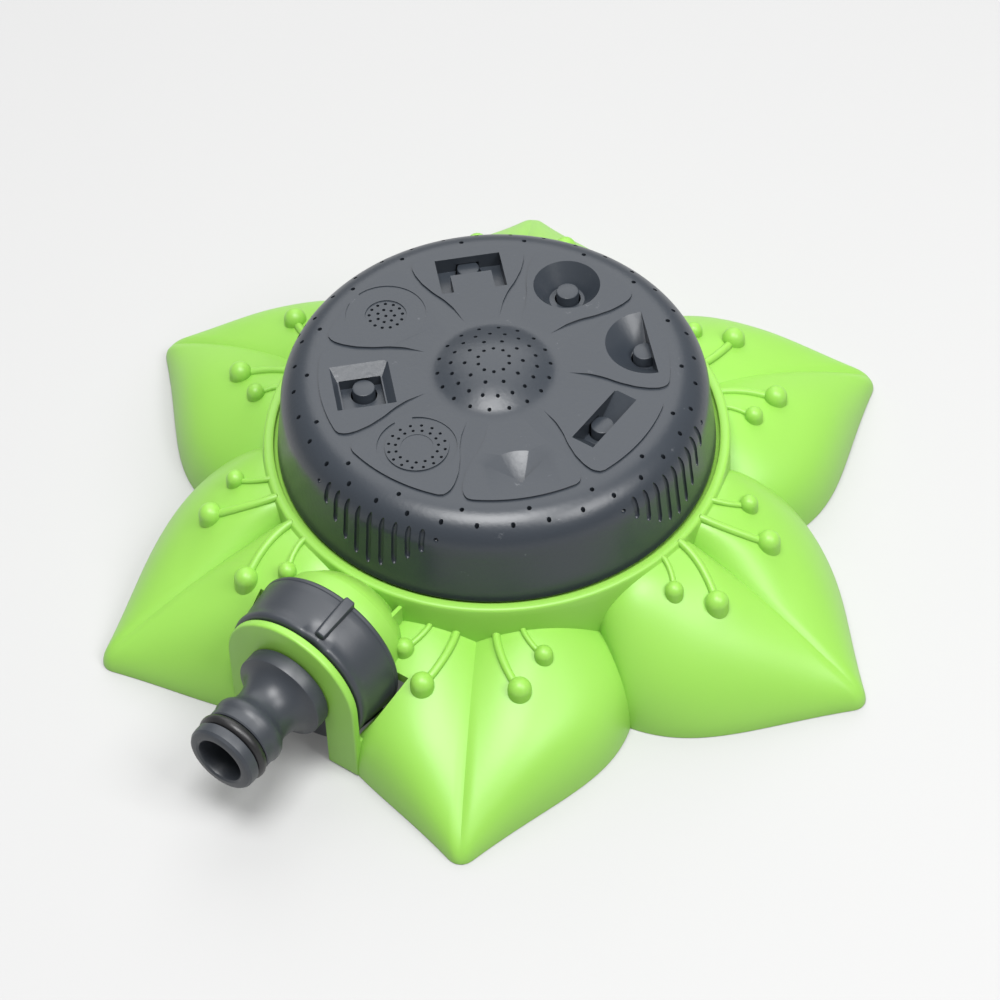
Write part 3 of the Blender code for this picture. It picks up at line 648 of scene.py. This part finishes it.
def finger_grooves():
    """Four groups of grip grooves down the shoulder, longest in the middle of each group."""
    half_group = [0.0440, 0.0405, 0.0375, 0.0346, 0.0326, 0.0317]
    lows = half_group + half_group[-2::-1]
    middle = len(half_group) - 1
    pitch, offset, sunk = 3.85, 0.37, 0.0002
    meshes = []
    for group in range(4):
        for i, low in enumerate(lows):
            angle = math.radians(90 * group + pitch * (i - middle) + offset)
            high = 0.0464 if 0 < i < 2 * middle else 0.0453
            path = []
            rings = 14 if high - low > 0.0025 else 5
            for z in np.linspace(high, low, rings):
                r, lower = outside_radius(z), outside_radius(z - 0.0002)
                tilt = math.atan2(lower - r, 0.0002)
                r -= sunk * math.cos(tilt)
                path.append((r * math.cos(angle), r * math.sin(angle), z - sunk * math.sin(tilt)))
            full = 0.00068 if rings > 5 else 0.0006
            radii = [0.0, full * 0.74] + [full] * (rings - 4) + [full * 0.74, 0.0]
            meshes.append(tube_mesh(path, radii, 14, "groove"))
    return joined(meshes, "grooves")


def pad_outline():
    """Raised panel of one sector: waist by the dome, round shoulders and an arched outer edge."""
    half = [(0.0128, 0.0030), (0.0160, 0.0040), (0.0200, 0.0055), (0.0230, 0.0072), (0.0256, 0.0092),
            (0.0290, 0.0112), (0.0320, 0.0123), (0.0340, 0.0126), (0.0356, 0.0123), (0.0364, 0.0112)]
    out, across = np.array(half).T
    along = np.concatenate([[0.0], np.cumsum(np.hypot(np.diff(out), np.diff(across)))])
    dense = [(np.interp(d, along, out), np.interp(d, along, across)) for d in np.linspace(0, along[-1], 26)]
    edge = math.atan2(half[-1][1], half[-1][0])
    reach = math.hypot(*half[-1])
    arc = [(reach * math.cos(edge * k / 12), reach * math.sin(edge * k / 12)) for k in range(11, -12, -1)]
    return dense + arc + [(x, -y) for x, y in reversed(dense)]


def pad_height(x, y):
    """Top of the panel, which rises softly from the dial's top next to the dome."""
    share = min(1.0, max(0.0, (x - 0.0135) / 0.0080))
    return DIAL_TOP - 0.0001 + (PAD_RISE + 0.0001) * share * share * (3 - 2 * share)


def frustum(top, bottom, high, low):
    """Cutter between two rectangles, each (nearest, farthest, lowest across, highest across)."""
    corners = []
    for (a, b, c, d), z in ((top, high), (bottom, low)):
        corners += [(x, y, z) for x in (a, b) for y in (c, d)]
    return hull_mesh(corners, "frustum")


def funnel(centre, top_radius, low_radius, low, high=PAD_TOP):
    """Round cutter that narrows downwards."""
    slope = (top_radius - low_radius) / (high - low)
    wide = top_radius + slope * 0.0006
    profile = [(0.0, high + 0.0006), (wide, high + 0.0006), (low_radius, low), (0.0, low)]
    return turned_mesh(profile, 72, "funnel", centre=centre)


def fan_scoop(apex, reach, low, high):
    """Cutter for a fan jet: a floor that climbs from the apex towards the dome as it widens."""
    half = math.radians(46)
    arc = [half * (i / 20 - 1) for i in range(41)]
    rows = [[(apex - r * math.cos(a), -r * math.sin(a), z) for a in arc]
            for r, z in ((0.0, low), (0.0012, low), (reach, high), (reach, ABOVE), (0.0, ABOVE))]
    rows[0], rows[-1] = rows[0][:1], rows[-1][:1]
    shape = bmesh.new()
    made = [[shape.verts.new(p) for p in row] for row in rows]
    for i in range(len(arc) - 1):
        shape.faces.new((made[0][0], made[1][i], made[1][i + 1]))
        shape.faces.new((made[1][i], made[2][i], made[2][i + 1], made[1][i + 1]))
        shape.faces.new((made[2][i], made[3][i], made[3][i + 1], made[2][i + 1]))
        shape.faces.new((made[3][i], made[4][0], made[3][i + 1]))
    for end in (0, -1):
        shape.faces.new([row[end] for row in made])
    return finish_mesh(shape, "scoop")


def slot_pocket():
    """Short slot with a floor that dips in the middle."""
    near, far, first, last = 0.0254, 0.0308, -0.0074, 0.0094
    ends = [(first, 0.0498), (last, 0.0498), (0.0036, 0.0452), (-0.0030, 0.0452)]
    corners = [(x, y, z) for x in (near, far) for y, z in ends]
    corners += [(x, y, ABOVE) for x in (near, far) for y in (first, last)]
    return hull_mesh(corners, "slot")


def half_cone_pocket():
    """Cone cut off flat on its outer side."""
    keep = box_mesh((0.0150, -0.0200, 0.0400), (0.03465, 0.0200, 0.0600))
    return combined(funnel((0.0343, 0.0012), 0.0094, 0.0037, 0.0452), ("INTERSECT", keep))


def bracket_pocket():
    """Trench across the panel with a leg towards the dome at each end."""
    near, knee, far, half, arm = 0.0247, 0.0310, 0.0352, 0.0073, 0.0046
    trench = box_mesh((0.0300, -half, 0.0458), (far, half, ABOVE))
    left = box_mesh((near, -half, 0.0460), (knee, -arm, ABOVE))
    right = box_mesh((near, arm, 0.0460), (knee, half, ABOVE))
    return combined(trench, ("UNION", left), ("UNION", right))


def square_pocket():
    """Square well under a chamfered mouth."""
    mouth = frustum((0.0220, 0.0352, -0.0077, 0.0057), (0.0240, 0.0338, -0.0044, 0.0056), 0.0500, 0.0477)
    well = box_mesh((0.0243, -0.0046, 0.0452), (0.0335, 0.0055, 0.0486))
    return combined(mouth, ("UNION", well))


def pockets():
    """Cutters for the six patterns that aren't showers, each with its sector's angle."""
    bowl = funnel((0.0300, 0.0014), 0.0074, 0.0039, 0.0452)
    return [(0, slot_pocket()), (45, half_cone_pocket()), (90, bowl), (135, bracket_pocket()),
            (225, square_pocket()), (315, fan_scoop(0.0338, 0.0096, 0.0459, 0.0500))]


def sunk_disc(radius, depth, sides, centre):
    """Shallow disc to cut out of a panel's top."""
    low = PAD_TOP - depth
    profile = [(0.0, ABOVE), (radius, ABOVE), (radius - 0.0001, low), (0.0, low)]
    return turned_mesh(profile, sides, "disc", centre=centre)


def shower_reliefs():
    """Raised rings and sunk discs of the two shower patterns, each with its sector's angle."""
    low = PAD_TOP - 0.0003
    groove = turned_mesh([(0.0067, ABOVE), (0.0087, ABOVE), (0.0086, low), (0.0069, low)], 92, "groove",
                         ring=True, centre=WIDE_CENTRE)
    return [(WIDE_SHOWER, groove), (WIDE_SHOWER, sunk_disc(0.0036, 0.0001, 64, WIDE_CENTRE)),
            (FINE_SHOWER, sunk_disc(0.0090, 0.0002, 96, FINE_CENTRE)),
            (FINE_SHOWER, sunk_disc(0.0047, 0.00045, 64, FINE_CENTRE))]


def build_dial():
    """Dial shell: grooves first, then the raised panels, the patterns, room for the pins and holes."""
    inner = [(SKIRT_RADIUS - 0.0021, SKIRT_Z), (0.0452, 0.0400), (0.0440, 0.0432), (0.0430, 0.0441),
             (0.0, 0.0441)]
    # The small turn keeps the shell's own edges off the edges of its cutters.
    shell = moved(turned_mesh(dome_profile() + inner, 216, "dial"), sector_matrix(0.713))
    steps = [("DIFFERENCE", finger_grooves())]
    for k in range(SECTORS):
        pad = prism_mesh(pad_outline(), DIAL_TOP - 0.0008, DIAL_TOP, "pad", lift=pad_height)
        steps.append(("UNION", moved(pad, sector_matrix(45 * k))))
    for angle, cutter in shower_reliefs() + pockets():
        steps.append(("DIFFERENCE", moved(cutter, sector_matrix(angle))))
    room_top = PIN_TOP + 0.0003
    room = [(0.0, room_top), (PIN_ROOM, room_top), (PIN_ROOM, 0.0420), (0.0, 0.0420)]
    for angle, place in PINS.items():
        cutter = turned_mesh(room, 40, "room", centre=place)
        steps.append(("DIFFERENCE", moved(cutter, sector_matrix(angle))))
    steps.append(("DIFFERENCE", spray_holes()))
    return piece("dial_shell", combined(shell, *steps), SLATE, "dial", ["dial_cover"],
                 angle=28)


def build_jets():
    """Nozzle plate under the dial with its chamber walls, hub and the jet pins."""
    plate = turned_mesh([(0.0019, 0.0319), (0.0455, 0.0319), (0.0455, 0.0299), (0.0019, 0.0299)], 96,
                        "plate", ring=True)
    hub_line = [(0.0019, 0.0440), (0.0062, 0.0440), (0.0062, CHAMBER_FLOOR), (0.0019, CHAMBER_FLOOR)]
    hub = turned_mesh(hub_line, 48, "hub", ring=True)
    steps = [("UNION", hub)]
    for k in range(SECTORS):
        wall = box_mesh((0.0060, -0.0006, CHAMBER_FLOOR), (0.0430, 0.0006, 0.0440))
        steps.append(("UNION", moved(wall, sector_matrix(45 * k + 22.5))))
    profile = [(0.0, PIN_TOP), (PIN_RADIUS - 0.00035, PIN_TOP), (PIN_RADIUS - 0.0001, PIN_TOP - 0.0001),
               (PIN_RADIUS, PIN_TOP - 0.00035), (PIN_RADIUS + 0.0001, CHAMBER_FLOOR), (0.0, CHAMBER_FLOOR)]
    for angle, place in PINS.items():
        pin = turned_mesh(profile, 48, "pin", centre=place)
        steps.append(("UNION", moved(pin, sector_matrix(angle))))
    for k in range(SECTORS):
        port = turned_mesh([(0.0, 0.0330), (0.0030, 0.0330), (0.0030, 0.0290), (0.0, 0.0290)], 32, "port",
                           centre=(0.0200, 0.0))
        steps.append(("DIFFERENCE", moved(port, sector_matrix(45 * k))))
    return piece("jet_plate", combined(plate, *steps), SLATE, "dial", ["nozzle_plate"],
                 angle=30)


# ---------------------------------------------------------------- inlet
# Outside of the nut as (distance along the inlet, radius), with its flared lip at the far end.
NUT_LINE = [(0.0619, 0.0172), (0.0620, 0.0177), (0.0624, 0.0180), (0.0630, 0.01798), (0.0632, 0.01782),
            (0.0634, 0.01788), (0.0650, 0.0177), (0.0670, 0.0175), (0.0690, 0.0173), (0.0702, 0.01712),
            (0.0712, 0.01702), (0.0720, 0.01706), (0.0727, 0.01722), (0.0732, 0.01728), (0.0737, 0.01716),
            (0.0740, 0.01690), (0.07415, 0.0165), (0.0742, 0.0158)]
NUT_END = NUT_LINE[-1][0]
NUT_BORE = 0.0134
RIB_ANGLES = (70, 190, 310)


def build_nut():
    """Coupling nut: three flared panels with soft front lips, and a grip rib between each two."""
    rings = []
    inside = [(0.0619, NUT_BORE), (0.0700, NUT_BORE), (0.0720, 0.0100)]
    line = [(NUT_END, 0.0100), *reversed(NUT_LINE), *inside]
    for z, radius in line:
        ring = []
        for i in range(180):
            turn = 2 * i
            away = min(abs((turn - rib + 180) % 360 - 180) for rib in RIB_ANGLES)
            front = max(0.0, min(1.0, (z - 0.0700) / 0.0030))
            dent = 0.0013 * front * max(0.0, 1 - away / 11) ** 0.6 if radius > 0.0150 else 0.0
            back = 0.0008 * front * max(0.0, 1 - away / 9) ** 0.5
            ring.append(((radius - dent) * math.cos(math.radians(turn)),
                         (radius - dent) * math.sin(math.radians(turn)), z - back))
        rings.append(ring)
    body = grid_mesh(rings, "nut", close_along=True)
    # (place along the inlet, inner and outer radius, half width at the foot and at the crest)
    cuts = ((0.0620, 0.0165, 0.0195, 0.0019, 0.0011), (0.0695, 0.0158, 0.0184, 0.0018, 0.0010),
            (0.0722, 0.0150, 0.0176, 0.0016, 0.0009))
    corners = []
    for z, low, high, foot, crest in cuts:
        corners += [(low, foot, z), (low, -foot, z), (high, crest, z), (high, -crest, z)]
    steps = []
    for angle in RIB_ANGLES:
        rib = softened(hull_mesh(corners, "rib"), 0.00035, 3)
        steps.append(("UNION", moved(rib, sector_matrix(angle))))
    return piece("coupling_nut_shell", combined(body, *steps), NUT_SLATE, "nut",
                 ["coupling_nut"], angle=30, matrix=INLET)


def build_adapter():
    """Click nose: flange, waist, ridge, O-ring groove and rounded mouth."""
    end = NOSE_END
    mouth = [(0.0053, end - 0.0009), (0.0055, end - 0.0003), (0.0060, end), (0.0070, end),
             (0.0076, end - 0.0003), (0.0080, end - 0.0009), (0.0081, end - 0.0018)]
    outer = [(0.0081, 0.0979), (0.0079, 0.0977), (0.0064, 0.0976), (0.0064, 0.0948), (0.0078, 0.0947),
             (0.0080, 0.0944), (0.0080, 0.0926), (0.0081, 0.0921), (0.0083, 0.0915), (0.0083, 0.0904),
             (0.0081, 0.0898), (0.0077, 0.0892), (0.0071, 0.0884), (0.0067, 0.0874), (0.0066, 0.0862),
             (0.0067, 0.0850), (0.0070, 0.0838), (0.0075, 0.0827), (0.0082, 0.0817), (0.0090, 0.0810),
             (0.0098, 0.08055), (0.0103, 0.0803), (0.0104, 0.0801), (0.0104, 0.0770), (0.0102, 0.0768),
             (0.0084, 0.0768), (0.0084, 0.0712), (0.0125, 0.0712), (0.0125, 0.0666)]
    bore = [(0.0082, 0.0666), (0.0060, 0.0700), (0.0053, 0.0740)]
    mesh = turned_mesh(mouth + outer + bore, 128, "adapter", ring=True)
    return piece("hose_adapter", mesh, NUT_SLATE, "base", ["tap_adapter"], angle=27,
                 matrix=INLET)


def build_ring():
    """O-ring that sits in the nose's groove."""
    turns = np.radians(np.arange(0, 360, 20))
    profile = [(0.00745 + 0.00105 * math.cos(a), 0.0962 - 0.0013 * math.sin(a)) for a in turns]
    mesh = turned_mesh(profile, 96, "ring", ring=True)
    return piece("nose_ring", mesh, RUBBER, "base", ["adapter_o_ring"], angle=60,
                 matrix=INLET)


def build_detent_spring():
    """Coil under the click plunger, wound to fill the box of the CAD spring."""
    low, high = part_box("detent_spring")
    wire, turns = 0.00025, 4
    x, y = (low[0] + high[0]) / 2, (low[1] + high[1]) / 2
    radius = (high[0] - low[0]) / 2 - wire
    bottom, top = low[2] + wire, high[2] - wire
    path, steps = [], turns * 20
    for i in range(steps + 1):
        a = 2 * math.pi * i / 20
        height = bottom + (top - bottom) * i / steps
        path.append((x + radius * math.cos(a), y + radius * math.sin(a), height))
    radii = [0.0] + [wire] * (steps - 1) + [0.0]
    mesh = tube_mesh(path, radii, 10, "detent_coil")
    mesh.materials.append(STEEL)
    mesh.shade_smooth()
    coil = loose(mesh, "detent_coil")
    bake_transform(coil)
    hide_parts("detent_spring")
    return coil


build_flower()
build_stamens()
build_dial()
build_jets()
build_nut()
build_adapter()
build_ring()
build_detent_spring()

# ---------------------------------------------------------------- CAD nodes that stay shown
KEPT = {"lime_plastic": LIME, "slate_plastic": NUT_SLATE, "inner_plastic": INNER, "black_rubber": RUBBER,
        "stainless_steel": STEEL}
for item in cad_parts.values():
    if item.hide_render:
        continue
    for held in item.material_slots:
        base_name = held.material.name.split(".")[0] if held.material else ""
        held.material = KEPT.get(base_name, INNER)

# ---------------------------------------------------------------- floor, light and camera
FLOOR_SIZE = 6.0
FLOOR_Z = -0.0002
floor_rows = [[(-FLOOR_SIZE, y, FLOOR_Z), (FLOOR_SIZE, y, FLOOR_Z)] for y in (-FLOOR_SIZE, FLOOR_SIZE)]
floor_mesh = grid_mesh(floor_rows, "studio_floor", close_across=False)
floor = loose(floor_mesh, "studio_floor")
paper = node_material("pale_paper", (0.41, 0.41, 0.41), 0.9, mottle=0.004, shine=0.1)
glow = paper.node_tree.nodes["Principled BSDF"]
glow.inputs["Emission Color"].default_value = (1.0, 1.0, 1.0, 1.0)
glow.inputs["Emission Strength"].default_value = 0.08
floor_mesh.materials.append(paper)

world = bpy.data.worlds.new("studio")
bpy.context.scene.world = world
world.use_nodes = True
sky = world.node_tree.nodes["Background"]
sky.inputs["Color"].default_value = (1.0, 1.0, 1.0, 1.0)
sky.inputs["Strength"].default_value = 0.30


def softbox(name, place, size, power):
    """Square area light aimed at the middle of the sprinkler."""
    light = bpy.data.lights.new(name, "AREA")
    light.size = size
    light.energy = power
    item = bpy.data.objects.new(name, light)
    bpy.context.scene.collection.objects.link(item)
    item.location = place
    item.rotation_mode = "QUATERNION"
    item.rotation_quaternion = (Vector((0.0, AXIS_Y, 0.02)) - Vector(place)).to_track_quat("-Z", "Y")
    return item


softbox("overhead", (0.08, -0.18, 1.1), 0.50, 13.5)
softbox("right_hand", (0.68, 0.02, 0.90), 0.45, 7.0)
softbox("behind", (-0.53, 0.72, 1.0), 1.20, 9.0)

CAMERA_AZIMUTH = math.radians(36.68)
CAMERA_ELEVATION = math.radians(48.31)
CAMERA_ROLL = math.radians(-2.24)
CAMERA_DISTANCE = 0.8075
FOCAL_LENGTH_MM = 127.44
TARGET = Vector((-0.00354, 0.00506 + AXIS_Y, 0.0))
back = Vector((math.sin(CAMERA_AZIMUTH) * math.cos(CAMERA_ELEVATION),
               -math.cos(CAMERA_AZIMUTH) * math.cos(CAMERA_ELEVATION), math.sin(CAMERA_ELEVATION)))
right = (-back).cross(Vector((0.0, 0.0, 1.0))).normalized()
up = right.cross(-back)
turned_right = math.cos(CAMERA_ROLL) * right + math.sin(CAMERA_ROLL) * up
turned_up = -math.sin(CAMERA_ROLL) * right + math.cos(CAMERA_ROLL) * up
lens = bpy.data.cameras.new("camera")
lens.lens = FOCAL_LENGTH_MM
lens.sensor_width = 36.0
camera = bpy.data.objects.new("camera", lens)
bpy.context.scene.collection.objects.link(camera)
camera.location = TARGET + back * CAMERA_DISTANCE
camera.rotation_mode = "QUATERNION"
axes = Matrix((turned_right, turned_up, back)).transposed()
camera.rotation_quaternion = axes.to_quaternion()
bpy.context.scene.camera = camera
bpy.context.scene.view_settings.view_transform = "Standard"
